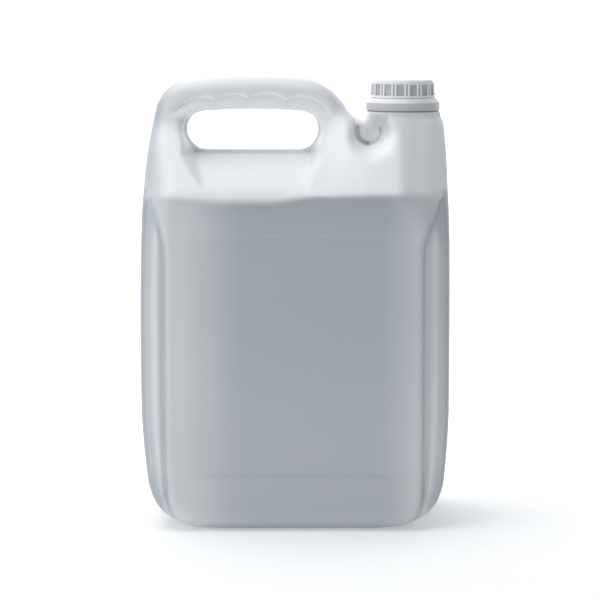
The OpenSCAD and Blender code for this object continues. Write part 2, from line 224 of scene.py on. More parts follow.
# Cap, ring and liner
RUN_GAP = 0.4
CAP_IN_R = NECK_R + THREAD_H + RUN_GAP
CAP_TAPER = 0.7
CAP_TOP_T = 1.8
CAP_ROUND = 2.8
CAP_LOW_EDGE_R = 0.35
CAP_IN_EDGE_R = 0.2
CAP_IN_CORNER_R = 0.4
CAP_THREAD_SINK = 0.3
CAP_THREAD_AIR = 0.2
SKIRT_DROP = 0.2
SKIRT_FOOT = 0.9
SKIRT_HEAD = 0.4
SKIRT_STEPS = 24
SKIRT_MIN_T = 0.6
RIB_PAIRS = 15
RIB_GROOVE_W = 1.3
RIB_GROOVE_D = 0.56
RIB_GROOVE_EDGE = (-0.25, 0.15)
FLAT_W = 4.9
FLAT_D = 0.7
FLAT_MARGIN = 1.3
FLAT_SIDE_EDGE = (-0.15, 0.25)
FLAT_LOW_EDGE = (-0.2, 0.4)
FLAT_HIGH_EDGE = (-0.6, 0.2)
RING_IN_R = NECK_R + BEAD_H + RUN_GAP
RING_HOOK_R = NECK_R + 2 * RUN_GAP
RING_WALL = 1.2
RING_ROOF = 3.6
RING_LIFT = 0.05
RING_BEVEL_W = 2.6
RING_BEVEL_H = 2.9
RING_BEVEL_R = 0.7
RING_LOW_EDGE_R = 0.45
RING_IN_EDGE_R = 0.2
RING_TOP_EDGE_R = 0.25
RING_HOOK_EDGE_R = 0.1
LINER_EDGE_R = 0.3

# Painted light and shade on the full lower body, from 0 in the deep tone to 1 in the light one
# A facing is one component of the surface's normal.
# The panel's base, lighter towards the foot and a little darker just under the fold
PANEL_LIGHT = 0.15
LOW_GAIN = 0.09
LOW_GAIN_Z = (150.0, 30.0)
FOLD_SHADE = 0.05
FOLD_SHADE_DROP = 4.0
# Painted light where the left and right lights fall on the panel
LEFT_GAIN = 0.4
LEFT_FROM = (30.0, 76.0)
LOW_LEFT_SHADE = 0.1
LOW_LEFT_Z = (110.0, 50.0)
RIGHT_GAIN = 0.34
RIGHT_FROM = (54.0, 88.0)
# Painted shade on the corner columns, with a painted highlight down each
COLUMN_FROM = (0.0, 5.0)  # from the crease
LEFT_COLUMN_SHADE = 0.3
RIGHT_COLUMN_SHADE = 0.2
HIGHLIGHT_GAIN = 0.36
HIGHLIGHT_FACING = 0.45
HIGHLIGHT_W = 0.16
HIGHLIGHT_TOP_Z = (206.0, 190.0)
# Painted shade in the creases, on the label panel's sloped edges, at the silhouette's edges and at the
# foot's corners
CREASE_SHADE = 0.18
CREASE_SHADE_OUT = 0.8
TILT_SHADE = 0.1
TILT_MOST = 0.5
TILT_FROM_Z = (22.0, 30.0)
EDGE_SHADE = 0.55
EDGE_FACING = (0.78, 0.95)
FOOT_SHADE = 0.25
FOOT_SHADE_Z = (45.0, 15.0)
FOOT_FACING = (0.25, 0.8)

# Painted light and shade on the empty upper part
UPPER_LIGHT = 0.78
UPPER_FROM = (-1.0, 3.0)  # from the fold
# Painted light on slopes that face up and on the grip under the finger dishes
SLOPE_LIGHT = 0.95
SLOPE_FACING = (0.15, 0.5)
SLOPE_FROM = (-12.0, -6.0)  # from the fold
GRIP_EDGE = (-0.5, 1.0)
GRIP_FROM = (6.0, 10.0)  # from the hole's middle
HOLE_WALL_FACING = (0.2, 0.6)
HOLE_WALL_LEFT = (-8.0, 0.0)  # from the hole's left end
HOLE_WALL_RIGHT = (14.0, 8.0)  # from the hole's right end
# Painted shade on the pillar's outer side, and painted light on the scoop's wall
PILLAR_SHADE = 0.6
PILLAR_FACING = (0.0, 0.9)
PILLAR_TO = (4.0, -4.0)  # from the hole's left end
SCOOP_LIGHT_OUT = (7.0, 2.0)
SCOOP_LIGHT_TO = (4.0, -4.0)  # from the scoop's middle
# Painted shade on the neck's far side, its edge and its top under the ring, lighter where it turns
NECK_SHADE = 0.25
NECK_SIDE_W = 8.0
NECK_TURN_GAIN = 0.3
NECK_TURN_FACING = (0.05, 0.45)
NECK_EDGE_SHADE = 0.5
NECK_EDGE_FACING = (0.8, 1.0)
NECK_TOP_SHADE = 0.4
NECK_TOP_FROM = (-18.0, -6.0)  # from the platform
NECK_TOP_W = 6.0

# Lightness of the inside, and painted light and shade on the cap and the ring
INSIDE_LIGHT = 0.8
# The cap's top a little in painted shade, and its flats deep in painted shade
CAP_TOP_PAINTED_LIGHT = 0.8
FLAT_PAINTED_SHADE = 0.85
FLAT_PAINTED_SHADE_IN = (0.1, 0.45)
# The ring's band in painted shade and its bevelled top in painted light
RING_BAND_PAINTED_LIGHT = 0.25
RING_BEVEL_PAINTED_LIGHT = 0.95
RING_PAINTED_LIGHT_EDGE = (-0.5, 0.5)

# Mesh
CELL = np.array((1.35, 2.4, 1.7)) * 1
INNER_CELL = np.array((4.0, 4.0, 4.0))
GRID_MARGIN = 3.0
SMALLEST_SLOPE = 1e-6
SHARP_ANGLE = math.radians(32)
CAP_SIDES = 720
RING_SIDES = 240
PLAIN_SIDES = 120
TONE_AND_PAINTED_LIGHT = "lightness"

# Surfaces
PLASTIC_IOR = 1.5
PLASTIC_SPECULAR = 0.35
GRAIN_SCALE = 60
GRAIN_DETAIL = 2
FLOOR_TONE = 0.92
FLOOR_ROUGHNESS = 0.9
FLOOR_SPECULAR = 0.1
FLOOR_GLOW = 0.24

# Stage and camera, in metres unless the name says otherwise
STAGE_REACH = 4.0
SWEEP_Y = 1.2
SWEEP_R = 0.8
SWEEP_STEPS = 16
MIDDLE = (0, 0, 0.15)
SURROUND_TONE = (0.86, 0.93, 1.0)
SURROUND_STRENGTH = 0.26
CAMERA_DISTANCE = 1.8
CAMERA_HEIGHT = 0.345
AIM = (0.0033, 0.0, 0.1419)
MM_PER_PIXEL = 0.6547
IMAGE_PIXELS = 600
SENSOR_MM = 36


# Field helpers

def smooth_min(a, b, k):
    """The smaller of a and b, with a soft join that reaches k."""
    h = np.clip(0.5 + 0.5 * (b - a) / k, 0, 1)
    return b + (a - b) * h - k * h * (1 - h)


def smooth_max(a, b, k):
    """The larger of a and b, with a soft join that reaches k."""
    return -smooth_min(-a, -b, k)


def round_join(a, b, r):
    """What is inside both a and b, with the edge between them rounded to r."""
    return np.minimum(np.maximum(a, b), -r) + np.hypot(np.maximum(a + r, 0), np.maximum(b + r, 0))


def share(low, high, v):
    """How far v has come from low to high, from 0 to 1."""
    return np.clip((v - low) / (high - low), 0, 1)


def step(low, high, v):
    """Soft step from 0 at low to 1 at high."""
    t = share(low, high, v)
    return t * t * (3 - 2 * t)


def step_at(place, ends, v):
    """Soft step between two ends that are measured from a place."""
    return step(place + ends[0], place + ends[1], v)


def bell(v, width):
    """1 where v is 0, falling off softly on both sides."""
    return np.exp(-(v / width) ** 2)


def mix(a, b, t):
    """From a at t = 0 to b at t = 1."""
    return a + (b - a) * t


# The jug's field

def side_x(z, draw):
    """Half width of the body on a side that draws in by draw up to the fold, and more at its foot."""
    foot = FOOT_DRAW * share(*FOOT_DRAW_Z, z) ** FOOT_DRAW_CURVE
    return HALF_W - draw * ((z - WIDEST_Z) / (FOLD_Z - WIDEST_Z)) ** 2 - foot


def lower_in(z, r):
    """How far a face that is rounded under the body with radius r lies inside its upright part."""
    over = r - np.clip(z, FOOT_START_Z, r)
    return r - np.sqrt(r * r - over * over)


def past_crease(x, z):
    """Distance outwards from the crease between panel and corner column. It curves out under the fold."""
    top_out = np.where(x > 0, CREASE_RIGHT_OUT, CREASE_LEFT_OUT)
    crease_x = CREASE_X + top_out * share(CREASE_TOP_Z, FOLD_Z, z) ** CREASE_OUT_CURVE
    return np.abs(x) - crease_x + CREASE_FOOT_IN * np.clip(1 - z / CREASE_FOOT_Z, 0, 1) ** 2


def front_inset(x, z):
    """How far the front panel lies behind the flat front: corner creases and label recess."""
    past = past_crease(x, z)
    column = CREASE_D * step(-CREASE_W / 2, CREASE_W / 2, past)
    groove = CREASE_GROOVE_D * bell(past, CREASE_GROOVE_W)
    fade = mix(1.0, CREASE_TOP_SHARE, step(CREASE_TOP_Z, FOLD_Z + CREASE_SHARE_OVER, z))
    fade = fade * (1 - step_at(FOLD_Z, CREASE_END, z))
    label = step(LABEL_HALF_W, LABEL_HALF_W - LABEL_SIDE_EDGE, np.abs(x))
    label = label * step(LABEL_HIGH_Z, LABEL_HIGH_Z - LABEL_TOP_EDGE, z)
    label = label * step(LABEL_LOW_Z - LABEL_LOW_EDGE, LABEL_LOW_Z, z)
    return fade * (column + groove) + LABEL_D * label


def finger_edge(x):
    """Height of the arched upper edges of the finger dishes."""
    edge = np.full_like(x, HOLE_Z)
    for finger_x, top in zip(FINGERS_X, FINGER_TOPS):
        edge = np.maximum(edge, top - (x - finger_x) ** 2 / (2 * FINGER_R))
    return edge


def finger_dish(x, z):
    """Depth of the finger dishes in the handle's front, deepest under their arched upper edges."""
    edge = finger_edge(x)
    low = HOLE_Z + HOLE_R - FINGER_LAP
    fill = np.clip((z - low) / np.maximum(edge - low, FINGER_MIN_H), 0, 1)
    return FINGER_D * fill * step(*FINGER_EDGE, edge - z)


def side_profile(x, y, z):
    """The form seen from the side: front panel, shoulder slope and handle."""
    over_hole = step_at(HOLE_X0, FOLD_DIP_LEFT, x) * (1 - step_at(HOLE_X1, FOLD_DIP_RIGHT, x))
    fold_z = FOLD_Z - FOLD_DIP * over_hole
    to_neck = step(HOLE_X1, COLUMN_LEFT + COLUMN_LAP, x)
    top_y = mix(HANDLE_HALF_D, PLATFORM_R, to_neck)
    top_z = mix(HANDLE_FOOT_Z, PLATFORM_Z, to_neck)
    rise = top_z - fold_z
    run = HALF_D - top_y
    slope = ((y - HALF_D) * rise + (z - fold_z) * run) / np.hypot(rise, run)
    panel = y - HALF_D + front_inset(x, z) + lower_in(z, BASE_EDGE_R)
    front = smooth_max(panel, slope, mix(FOLD_BLEND, FOLD_DIP_BLEND, over_hole))
    return smooth_min(front, y - HANDLE_HALF_D + finger_dish(x, z), HANDLE_BLEND)


def pillar_x(z):
    """Outer edge of the side pillar, which draws in above the fold."""
    rise = np.clip((z - FOLD_Z) / PILLAR_RISE, 0, None)
    return side_x(np.minimum(z, FOLD_Z), LEFT_DRAW) - LEFT_IN - PILLAR_DRAW * rise ** PILLAR_CURVE


def column_x(z):
    """Outer edge of the neck column."""
    rise = np.clip((z - FOLD_Z) / (PLATFORM_Z - FOLD_Z), 0, None)
    return side_x(np.minimum(z, FOLD_Z), RIGHT_DRAW) - COLUMN_DRAW * rise ** COLUMN_CURVE


def outline(x, z):
    """The front outline without the neck's side: pillar, handle and the valley beside the neck."""
    left = -x - pillar_x(z) + lower_in(z, BASE_CORNER_R)
    arch = z - HANDLE_TOP + (x - HANDLE_TOP_X) ** 2 / (2 * HANDLE_ARCH_R)
    bend = (x - BEND_POINT[0]) * BEND_NORMAL[0] + (z - BEND_POINT[1]) * BEND_NORMAL[1]
    handle = round_join(round_join(left, arch, HANDLE_CORNER_R), bend, HANDLE_BEND_R)
    web_top = mix(WEB_Z, PLATFORM_Z, step_at(COLUMN_LEFT, WEB_END, x))
    web = np.maximum(z - web_top, HOLE_X1 + WEB_LAP - x)
    return smooth_min(web, handle, WEB_BLEND)


def blank(x, y, z):
    """The blown form before pocket, hole and scoop."""
    to_fold = step(CREASE_TOP_Z, FOLD_Z, z)
    right = x - column_x(z) + lower_in(z, BASE_CORNER_R)
    neck_draw = (NECK_CORNER_R - PLATFORM_R) * share(FOLD_Z, PLATFORM_Z, z)
    body = round_join(side_profile(x, y, z), right, mix(COLUMN_R, NECK_CORNER_R, to_fold) - neck_draw)
    corner = mix(mix(COLUMN_R, COLUMN_TOP_R, to_fold), HANDLE_ROUND, step(FOLD_Z, HANDLE_FOOT_Z, z))
    return np.maximum(round_join(outline(x, z), body, corner), -z)


def pocket(x, y, z):
    """The air in the pocket under the hand hole, on both sides of the ridge."""
    foot_y, foot_z = POCKET_FOOT
    ridge_z = HOLE_Z - HOLE_R - RIM_STEP
    rise = ridge_z - foot_z
    run = foot_y - RIDGE_T
    floor = ((y - foot_y) * rise + (z - foot_z) * run) / math.hypot(rise, run)
    floor_y = foot_y - run * share(foot_z, ridge_z, z)
    open_out = POCKET_DRAFT * np.clip(y - floor_y, 0, None)
    down = share(HOLE_Z, foot_z, z) ** POCKET_CURVE
    left = HOLE_X0 + POCKET_IN + POCKET_LEFT_IN * down - open_out
    right = HOLE_X1 - POCKET_IN - POCKET_RIGHT_IN * down + open_out
    air = smooth_max(-floor, np.maximum(left - x, x - right), POCKET_FLOOR_BLEND)
    return smooth_max(air, z - HOLE_Z - POCKET_OVER, POCKET_TOP_BLEND)


def hand_hole(x, z):
    """The air in the hand hole, a long hole with a slightly arched top."""
    mid = (HOLE_X0 + HOLE_X1) / 2
    reach = (HOLE_X1 - HOLE_X0) / 2 - HOLE_R
    arch = HOLE_CROWN - HOLE_ARCH * np.clip(((x - mid) / reach) ** 2, 0, 1)
    arch = arch * step(HOLE_Z, HOLE_Z + HOLE_R, z)
    along = np.maximum(np.abs(x - mid) - reach, 0)
    return np.hypot(along, z - arch - HOLE_Z) - HOLE_R


def scoop_notch(x, z):
    """The scoop's outline from the front: a notch with a round foot."""
    return np.hypot(x - SCOOP_X, np.minimum(z - SCOOP_Z, 0)) - SCOOP_R


def scoop(x, y, z):
    """The air in the rounded scoop between handle and neck, in front of and behind the web."""
    floor_y = SCOOP_Y + SCOOP_BULGE * (1 - np.clip((x - SCOOP_X) / SCOOP_R, -1, 1) ** 2)
    drafted = scoop_notch(x, z) - SCOOP_DRAFT * np.clip(y - SCOOP_Y, 0, None)
    return smooth_max(drafted, floor_y - y, SCOOP_BLEND)


def scoop_crease(x, y, z):
    """The air in the crease where the scoop's wall meets the neck column's round side."""
    round_y = np.sqrt(np.maximum(PLATFORM_R ** 2 - (x - NECK_X) ** 2, SCOOP_Y ** 2))
    line = np.abs(scoop_notch(x, z) + SCOOP_CREASE) - SCOOP_CREASE
    line = np.maximum(line, z - WEB_Z + SCOOP_CREASE_DROP)
    return smooth_max(line, round_y - 2 * SCOOP_CREASE - y, SCOOP_BLEND)


def jug_field(x, y, z):
    """Below zero inside the jug's outer skin. Front and back are alike."""
    y = np.abs(y)
    form = smooth_max(blank(x, y, z), -scoop(x, y, z), SCOOP_EDGE_BLEND)
    neck_base = round_join(np.hypot(x - NECK_X, y) - PLATFORM_R, z - PLATFORM_Z, PLATFORM_ROUND)
    form = smooth_min(form, np.maximum(neck_base, PLATFORM_Z - NECK_BASE_H - z), NECK_BLEND)
    form = smooth_max(form, -scoop_crease(x, y, z), NECK_BLEND)
    form = smooth_max(form, -pocket(x, y, z), POCKET_EDGE_BLEND)
    hole = hand_hole(x, z)
    edge_r = mix(HOLE_LOW_EDGE_R, HOLE_SIDE_EDGE_R, step(HOLE_Z - HOLE_R, HOLE_Z, z))
    edge_r = mix(edge_r, HOLE_TOP_EDGE_R, step(HOLE_Z + HOLE_R - HOLE_TOP_BAND, HOLE_Z + HOLE_R, z))
    form = round_join(form, -hole, edge_r)
    rim = np.hypot(hole - RIM_R, y - RIDGE_T) - RIM_R
    form = smooth_min(form, rim, RIM_BLEND)
    dome = np.maximum(np.maximum(np.abs(x) - PUSH_UP_X, y - PUSH_UP_Y), z - PUSH_UP)
    return smooth_max(form, -dome, PUSH_UP_BLEND)


# Meshing

def gradient(field, p, h=0.05):
    """Slope of the field at points p."""
    axes = np.eye(3) * h
    return np.stack([(field(*(p + a).T) - field(*(p - a).T)) / (2 * h) for a in axes], axis=1)


def settle(field, p, rounds=3):
    """Points p moved onto the field's zero surface."""
    for _ in range(rounds):
        g = gradient(field, p)
        p = p - (field(*p.T) / np.maximum((g * g).sum(1), SMALLEST_SLOPE))[:, None] * g
    return p


def cells_around(edges, axis):
    """For grid edges along an axis, the index of each of the four cells around them, in turn."""
    u, v = (axis + 1) % 3, (axis + 2) % 3
    for du, dv in ((1, 1), (0, 1), (0, 0), (1, 0)):
        cells = edges.copy()
        cells[:, u] -= du
        cells[:, v] -= dv
        yield tuple(cells.T)


def skin(field, low, high, cell):
    """Points and quads of the field's zero surface, on a grid with that cell size along x, y and z.

    Each cell that the surface passes through gets one point, and each grid edge that it crosses one quad.
    """
    counts = np.ceil((high - low) / cell).astype(int) + 1
    axes = [low[i] + cell[i] * np.arange(counts[i]) for i in range(3)]
    x, y = np.meshgrid(axes[0], axes[1], indexing="ij")
    values = np.empty(counts, np.float32)
    for k, z in enumerate(axes[2]):
        values[:, :, k] = field(x, y, np.full_like(x, z))
    total = np.zeros((*(counts - 1), 3), np.float32)
    hits = np.zeros(counts - 1, np.float32)
    crossed = []
    for axis in range(3):
        near = values.take(np.arange(counts[axis] - 1), axis)
        far = values.take(np.arange(1, counts[axis]), axis)
        cross = (near < 0) != (far < 0)
        edges = np.argwhere(cross)
        spots = edges.astype(np.float32)
        spots[:, axis] += near[cross] / (near[cross] - far[cross])
        for cells in cells_around(edges, axis):
            np.add.at(total, cells, spots)
            np.add.at(hits, cells, 1)
        crossed.append((axis, edges, near[cross] < 0))
    used = hits > 0
    number = np.full(hits.shape, -1)
    number[used] = np.arange(used.sum())
    points = total[used] / hits[used][:, None] * cell + low
    quads = []
    for axis, edges, starts_inside in crossed:
        quad = np.stack([number[cells] for cells in cells_around(edges, axis)], axis=1)
        quad[~starts_inside] = quad[~starts_inside][:, ::-1]
        quads.append(quad)
    return settle(field, points), np.concatenate(quads)


def from_axis(points):
    """Distance of points from the neck's axis."""
    return np.hypot(points[:, 0] - NECK_X, points[:, 1])


def used_points(points, quads):
    """The points that quads use, and the quads numbered anew."""
    kept, index = np.unique(quads, return_inverse=True)
    return points[kept], index.reshape(quads.shape)


def open_mouth(points, quads, radius, low_z):
    """Takes the closed disc off the surface under the neck and leaves a round edge."""
    out = from_axis(points)
    cut = (out[quads].mean(1) < radius) & (points[quads][:, :, 2].min(1) > low_z)
    quads = quads[~cut]
    sides = np.concatenate([quads[:, [i, (i + 1) % 4]] for i in range(4)])
    sides.sort(axis=1)
    pairs, counts = np.unique(sides, axis=0, return_counts=True)
    rim = np.unique(pairs[counts == 1])
    scale = radius / out[rim]
    points[rim, 0] = NECK_X + (points[rim, 0] - NECK_X) * scale
    points[rim, 1] *= scale
    return used_points(points, quads)


def lathe(profile, count, carve=None):
    """Closed turned shape about the neck's axis, from a closed loop of (radius, z), outside first."""
    loop = np.array(profile, float)
    turn = np.arange(count)[:, None] * 2 * math.pi / count
    r = np.repeat(loop[None, :, 0], count, axis=0)
    z = np.repeat(loop[None, :, 1], count, axis=0)
    if carve is not None:
        r = carve(r, z, turn)
    points = np.stack([NECK_X + r * np.cos(turn), r * np.sin(turn), z], axis=2).reshape(-1, 3)
    number = np.arange(len(points)).reshape(r.shape)
    on_axis = loop[:, 0] == 0
    number[:, on_axis] = number[0, on_axis]
    beside = np.roll(number, -1, axis=0)
    quads = np.stack([number, beside, np.roll(beside, -1, axis=1), np.roll(number, -1, axis=1)], axis=2)
    return used_points(points, quads.reshape(-1, 4))


def rounded_loop(corners, steps=5):
    """Closed (radius, z) loop through corners (radius, z, rounding), with an arc at each rounding."""
    loop = []
    for i, (r, z, rounding) in enumerate(corners):
        corner = np.array((r, z), float)
        if not rounding:
            loop.append(corner)
            continue
        back = np.array(corners[i - 1][:2]) - corner
        ahead = np.array(corners[(i + 1) % len(corners)][:2]) - corner
        back /= np.linalg.norm(back)
        ahead /= np.linalg.norm(ahead)
        half = math.acos(np.clip(back @ ahead, -1, 1)) / 2
        centre = corner + (back + ahead) / np.linalg.norm(back + ahead) * rounding / math.sin(half)
        start = corner + back * rounding / math.tan(half) - centre
        end = corner + ahead * rounding / math.tan(half) - centre
        first = math.atan2(start[1], start[0])
        turn = math.atan2(start[0] * end[1] - start[1] * end[0], start @ end)
        for a in np.linspace(first, first + turn, steps + 1):
            loop.append(centre + rounding * np.array((math.cos(a), math.sin(a))))
    return loop


def thread(r_foot, r_crest, z0):
    """Ridge of the screw thread, fading out at both ends."""
    foot, crest = THREAD_HALF_W
    section = [(0, -foot), (1, -crest), (1, crest), (0, foot)]
    n = len(section)
    steps = int(THREAD_TURNS * THREAD_STEPS)
    points = []
    for i in range(steps + 1):
        turn = 2 * math.pi * THREAD_TURNS * i / steps
        z = z0 + THREAD_PITCH * turn / (2 * math.pi)
        fade = min(1.0, THREAD_END_SHARE + min(i, steps - i) / THREAD_FADE_STEPS)
        for out, up in section:
            r = r_foot + (r_crest - r_foot) * out * fade
            points.append((NECK_X + r * math.cos(turn), r * math.sin(turn), z + up))
    quads = []
    for i in range(steps):
        for j in range(n):
            a = i * n + j
            b = i * n + (j + 1) % n
            quads.append((a, a + n, b + n, b))
    last = steps * n
    quads += [(0, 1, 2, 3), (last + 3, last + 2, last + 1, last)]
    if r_crest < r_foot:
        quads = [quad[::-1] for quad in quads]
    return np.array(points), np.array(quads)


def joined(*parts):
    """Several (points, quads) as one."""
    points, quads, offset = [], [], 0
    for p, q in parts:
        points.append(p)
        quads.append(q + offset)
        offset += len(p)
    return np.concatenate(points), np.concatenate(quads)


def add_object(name, data):
    """A new object of the scene that holds a mesh, light or camera."""
    obj = bpy.data.objects.new(name, data)
    bpy.context.scene.collection.objects.link(obj)
    return obj


def piece(name, points, quads, light, material, body, node):
    """A mesh object that stands for a CAD node and rides on its body; light is each point's lightness,
    with its painted light and shade.
    """
    mesh = bpy.data.meshes.new(name)
    faces = [[v for i, v in enumerate(quad) if v != quad[i - 1]] for quad in quads.tolist()]
    mesh.from_pydata((points * MM).tolist(), [], [face for face in faces if len(face) > 2])
    mesh.update()
    mesh.shade_smooth()
    mesh.set_sharp_from_angle(angle=SHARP_ANGLE)
    mesh.attributes.new(TONE_AND_PAINTED_LIGHT, "FLOAT", "POINT").data.foreach_set("value", light.astype(np.float32))
    mesh.materials.append(material)
    obj = add_object(name, mesh)
    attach(obj, body)
    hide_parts(node)


# Painted light and shade on the shell

def full_body_painted_light(x, z, facing_x, facing_z):
    """Lightness of the full body: painted light to the sides where the side lights fall, lighter towards
    the foot, a painted highlight down each column, and painted shade on columns, creases, edges and foot.
    """
    sideways = np.abs(facing_x)
    light = PANEL_LIGHT + LOW_GAIN * step(*LOW_GAIN_Z, z)
    light = light - FOLD_SHADE * step(LABEL_HIGH_Z, FOLD_Z - FOLD_SHADE_DROP, z)
    # Painted light where the left and right lights fall
    left = LEFT_GAIN - LOW_LEFT_SHADE * step(*LOW_LEFT_Z, z)
    light = light + left * step(*LEFT_FROM, -x) + RIGHT_GAIN * step(*RIGHT_FROM, x)
    # Painted highlight and painted shade on the corner columns
    painted_highlight = bell(sideways - HIGHLIGHT_FACING, HIGHLIGHT_W) * step(*HIGHLIGHT_TOP_Z, z)
    painted_column_shade = np.where(x > 0, RIGHT_COLUMN_SHADE, LEFT_COLUMN_SHADE)
    past = past_crease(x, z)
    light = light + step(*COLUMN_FROM, past) * (HIGHLIGHT_GAIN * painted_highlight - painted_column_shade)
    # Painted shade in the crease, on the label panel's sloped edges, at the silhouette and at the foot's
    # corners
    light = light - CREASE_SHADE * bell(past - CREASE_SHADE_OUT, CREASE_W)
    light = light - TILT_SHADE * np.clip(np.abs(facing_z), 0, TILT_MOST) * step(*TILT_FROM_Z, z)
    light = light - EDGE_SHADE * step(*EDGE_FACING, sideways)
    return light - FOOT_SHADE * step(*FOOT_SHADE_Z, z) * step(*FOOT_FACING, sideways)


def empty_part_painted_light(x, z, facing_x, facing_z):
    """Lightness of the empty part: painted light on slopes, grip and scoop, and painted shade on the
    neck's far side, its top, its edge and the pillar's side.
    """
    # Painted shade on the neck's far side and its edge, lighter where it turns
    neck_side = step(NECK_X - NECK_SIDE_W, NECK_X, x)
    turned = NECK_TURN_GAIN * step(*NECK_TURN_FACING, facing_x)
    turned = turned - NECK_EDGE_SHADE * step(*NECK_EDGE_FACING, facing_x)
    light = UPPER_LIGHT + neck_side * (turned - NECK_SHADE)
    # Painted light under the finger dishes and on slopes that face up, but not on the hole's walls
    grip_painted_light = step(*GRIP_EDGE, finger_edge(x) - z) * step_at(HOLE_Z, GRIP_FROM, z)
    by_hole = step_at(HOLE_X0, HOLE_WALL_LEFT, x) * step_at(HOLE_X1, HOLE_WALL_RIGHT, x)
    walls = step(*HOLE_WALL_FACING, np.abs(facing_x)) * by_hole
    slope = step(*SLOPE_FACING, facing_z) * (1 - neck_side) * (1 - walls)
    light = mix(mix(light, 1.0, grip_painted_light), SLOPE_LIGHT, slope)
    # Painted shade on the neck's top under the ring, painted light on the scoop's wall and painted shade
    # on the pillar's outer side
    neck_top_painted_shade = step_at(PLATFORM_Z, NECK_TOP_FROM, z) * step(SCOOP_X - NECK_TOP_W, SCOOP_X, x)
    light = light - NECK_TOP_SHADE * neck_top_painted_shade * (1 - neck_side)
    scoop_painted_light = step(*SCOOP_LIGHT_OUT, scoop_notch(x, z)) * step_at(SCOOP_X, SCOOP_LIGHT_TO, x)
    light = mix(light, 1.0, scoop_painted_light)
    return light - PILLAR_SHADE * step(*PILLAR_FACING, -facing_x) * step_at(HOLE_X0, PILLAR_TO, x)


def lightness(points):
    """Painted light and shade on the jug's outer skin, from 0 to 1, over the tones of its full lower body
    and its empty upper part.
    """
    x, _, z = points.T
    normal = gradient(jug_field, points)
    facing_x, _, facing_z = (normal / np.linalg.norm(normal, axis=1)[:, None]).T
    sloped = step(*SLOPE_FACING, facing_z) * step_at(FOLD_Z, SLOPE_FROM, z)
    over_fold = np.maximum(step_at(FOLD_Z, UPPER_FROM, z), sloped)
    # Each part's tone, with its painted light and shade
    full = full_body_painted_light(x, z, facing_x, facing_z)
    empty = empty_part_painted_light(x, z, facing_x, facing_z)
    return np.clip(mix(full, empty, over_fold), 0, 1)


# Materials

def plastic(name, deep, light, roughness, bump=0.0):
    """Plastic or foam between a deep and a light tone, by each point's lightness, which holds painted
    light and shade; bump makes it uneven.
    """
    material = bpy.data.materials.new(name)
    material.use_nodes = True
    nodes, links = material.node_tree.nodes, material.node_tree.links
    shader = nodes["Principled BSDF"]
    shader.inputs["Roughness"].default_value = roughness
    shader.inputs["IOR"].default_value = PLASTIC_IOR
    shader.inputs["Specular IOR Level"].default_value = PLASTIC_SPECULAR
    tone = nodes.new("ShaderNodeAttribute")
    tone.attribute_name = TONE_AND_PAINTED_LIGHT
    tones = nodes.new("ShaderNodeMix")
    tones.data_type = "RGBA"
    tones.inputs["A"].default_value = (*deep, 1)
    tones.inputs["B"].default_value = (*light, 1)
    links.new(tone.outputs["Fac"], tones.inputs["Factor"])
    links.new(tones.outputs["Result"], shader.inputs["Base Color"])
    if bump:
        place = nodes.new("ShaderNodeTexCoord")
        noise = nodes.new("ShaderNodeTexNoise")
        noise.inputs["Scale"].default_value = GRAIN_SCALE
        noise.inputs["Detail"].default_value = GRAIN_DETAIL
        height = nodes.new("ShaderNodeBump")
        height.inputs["Strength"].default_value = bump
        height.inputs["Distance"].default_value = MM
        links.new(place.outputs["Object"], noise.inputs["Vector"])
        links.new(noise.outputs["Fac"], height.inputs["Height"])
        links.new(height.outputs["Normal"], shader.inputs["Normal"])
    return material


# The deep tones stand for painted shade, on the jug also for its full lower body, and the light tones for
# painted light
jug_plastic = plastic(
    "natural_polyethylene", deep=(0.36, 0.405, 0.44), light=(0.93, 0.935, 0.95), roughness=0.42, bump=0.06)
cap_plastic = plastic("white_closure", deep=(0.45, 0.45, 0.46), light=(0.92, 0.92, 0.93), roughness=0.3)
liner_foam = plastic("liner_foam", deep=(0.6, 0.6, 0.59), light=(0.82, 0.82, 0.80), roughness=0.8)


# Pieces

def neck_tube():
    """The neck's tube, with its retaining bead and bevelled lip."""
    foot = PLATFORM_Z - WALL - NECK_SINK
    bead_top = BEAD_Z + BEAD_T
    return lathe([
        (BORE_R, foot),
        (NECK_R, foot),
        (NECK_R, BEAD_Z - BEAD_LEAD),
        (NECK_R + BEAD_H, BEAD_Z),
        (NECK_R + BEAD_H, bead_top),
        (NECK_R, bead_top + BEAD_H),
        (NECK_R, LIP_Z - LIP_BEVEL),
        (NECK_R - LIP_BEVEL, LIP_Z),
        (BORE_R + LIP_IN_BEVEL, LIP_Z),
        (BORE_R, LIP_Z - LIP_IN_BEVEL)], PLAIN_SIDES)


def make_jug():
    """The hollow shell: outer and inner skin, open at the neck, with the neck's tube and thread."""
    low, high = JUG_LOW - GRID_MARGIN, JUG_HIGH + GRID_MARGIN
    outer = skin(jug_field, low, high, CELL)
    inner = skin(lambda x, y, z: jug_field(x, y, z) + WALL, low, high, INNER_CELL)
    rim_r = (BORE_R + NECK_R) / 2
    outer = open_mouth(*outer, rim_r, PLATFORM_Z - MOUTH_DROP)
    inner_points, inner_quads = open_mouth(*inner, rim_r, PLATFORM_Z - WALL - INNER_MOUTH_DROP)
    ridge = thread(NECK_R - THREAD_SINK, NECK_R + THREAD_H, THREAD_Z)
    points, quads = joined(outer, (inner_points, inner_quads[:, ::-1]), neck_tube(), ridge)
    # The outer skin gets its painted light and shade, the inside an even tone
    light = np.full(len(points), INSIDE_LIGHT)
    light[:len(outer[0])] = lightness(outer[0])
    piece("jug_shell", points, quads, light, jug_plastic, "jug", "jug_body")


def skirt_r(z):
    """Outer radius of the cap's slightly tapered skirt."""
    return CAP_R - CAP_TAPER * (z - CAP_LOW[2]) / (CAP_HIGH[2] - CAP_LOW[2])


